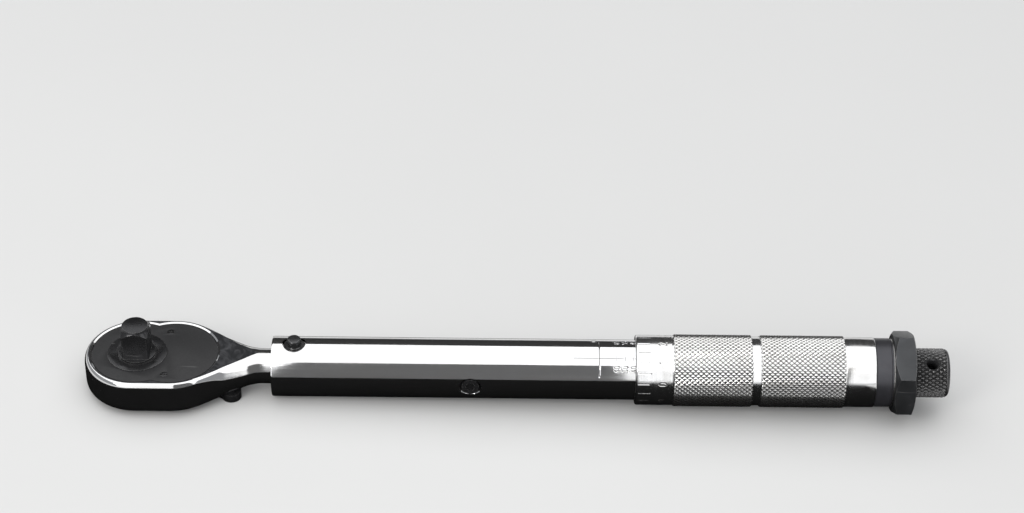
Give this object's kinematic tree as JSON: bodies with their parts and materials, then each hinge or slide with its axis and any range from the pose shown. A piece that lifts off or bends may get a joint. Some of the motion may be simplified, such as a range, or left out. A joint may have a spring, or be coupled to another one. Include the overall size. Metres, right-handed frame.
{
  "type": "torque wrench",
  "caption": "Long steel click-type torque wrench: ratchet head with a drive square, tube with a pivoting lever inside, knurled turning handle, hexagon nut and knurled lock knob.",
  "frame": {"origin": "centre of the drive square's base, on the flange's face", "axes": "+Z is the way the drive square points, +X runs along the tube from the head to the lock knob"},
  "size_m": [0.3016, 0.0368, 0.0333],
  "materials": {
    "chrome": "polished",
    "satin_chrome": "satin, knurled",
    "black_oxide": "black oxide, satin",
    "bare_steel": "ground",
    "bronze": "plain",
    "rubber": "matte",
    "black_plastic": "satin"
  },
  "bodies": {
    "tube_body": {"tube": "chrome", "pivot_screw": "black_oxide", "guide_screw": "black_oxide", "fixed_nut": "bare_steel", "nut_set_screws": "black_oxide", "main_spring": "bare_steel"},
    "head": {"ratchet_head": "chrome", "pivot_bush": "bronze", "cover_plate": "black_oxide", "cover_screws": "black_oxide", "pawl_pin": "bare_steel"},
    "drive": {"drive_gear": "black_oxide", "detent_spring": "bare_steel"},
    "socket_detent": {"detent_ball": "bare_steel"},
    "reverser": {"reverse_lever": "black_oxide", "lever_clip": "bare_steel", "plunger_spring": "bare_steel"},
    "pawl_body": {"pawl": "bare_steel"},
    "pawl_pusher": {"pawl_plunger": "bare_steel"},
    "thrust_slide": {"thrust_plunger": "bare_steel", "spring_washer": "bare_steel"},
    "click_block": {"tilt_block": "bare_steel"},
    "seat_slide": {"spring_seat": "bare_steel", "thrust_ball": "bare_steel"},
    "handle": {"adjusting_screw": "bare_steel", "handle_sleeve": "satin_chrome", "friction_ring": "rubber", "end_bush": "black_plastic", "handle_nut": "black_oxide"},
    "lock_slide": {"lock_rod": "bare_steel"},
    "knob": {"lock_knob": "black_oxide"}
  },
  "joints": [
    {"name": "click_pivot", "type": "hinge", "parent": "tube_body", "child": "head", "pos_m": [0.0549, 0, -0.00575], "axis": [0, 0, 1], "range_deg": [-2.5, 0], "stiffness_Nm_per_rad": 8, "springref_deg": 1.72},
    {"name": "drive_turn", "type": "hinge", "parent": "head", "child": "drive", "pos_m": [0, 0, 0], "axis": [0, 0, 1], "continuous": true},
    {"name": "detent_press", "type": "slide", "parent": "drive", "child": "socket_detent", "axis": [0, -1, 0], "range_m": [0, 0.0005], "stiffness_N_per_m": 400, "springref_m": -0.0003, "deforming": ["detent_spring"]},
    {"name": "reverse_turn", "type": "hinge", "parent": "head", "child": "reverser", "pos_m": [0.0235, 0, -0.00575], "axis": [0, 0, 1], "range_deg": [0, 60]},
    {"name": "pawl_rock", "type": "hinge", "parent": "head", "child": "pawl_body", "pos_m": [0.0156, 0, -0.00575], "axis": [0, 0, 1], "range_deg": [-20, 0]},
    {"name": "pawl_plunger_press", "type": "slide", "parent": "reverser", "child": "pawl_pusher", "axis": [0.866, -0.5, 0], "range_m": [0, 0.0005], "stiffness_N_per_m": 200, "springref_m": -0.0003, "deforming": ["plunger_spring"]},
    {"name": "plunger_slide", "type": "slide", "parent": "tube_body", "child": "thrust_slide", "axis": [1, 0, 0], "range_m": [0, 0.0016]},
    {"name": "block_tilt", "type": "hinge", "parent": "thrust_slide", "child": "click_block", "pos_m": [0.1114, -0.003, -0.00575], "axis": [0, 0, 1], "range_deg": [0, 18]},
    {"name": "handle_travel", "type": "slide", "parent": "tube_body", "child": "seat_slide", "axis": [-1, 0, 0], "range_m": [0, 0.0125], "deforming": ["main_spring"]},
    {"name": "handle_turn", "type": "hinge", "parent": "seat_slide", "child": "handle", "pos_m": [0.2, 0, -0.00575], "axis": [-1, 0, 0], "range_deg": [0, 2880]},
    {"name": "lock_travel", "type": "slide", "parent": "handle", "child": "lock_slide", "axis": [1, 0, 0], "range_m": [0, 0.0024]},
    {"name": "lock_knob_turn", "type": "hinge", "parent": "lock_slide", "child": "knob", "pos_m": [0.275, 0, -0.00575], "axis": [1, 0, 0], "range_deg": [0, 720]}
  ],
  "couplings": [
    {"joint": "pawl_rock", "follows": "reverse_turn", "ratio": -0.23333},
    {"joint": "plunger_slide", "follows": "click_pivot", "m_per_rad": -0.03094},
    {"joint": "block_tilt", "follows": "click_pivot", "ratio": -6.24},
    {"joint": "handle_travel", "follows": "handle_turn", "m_per_rad": 0.00023873},
    {"joint": "lock_travel", "follows": "lock_knob_turn", "m_per_rad": 0.00015915}
  ]
}
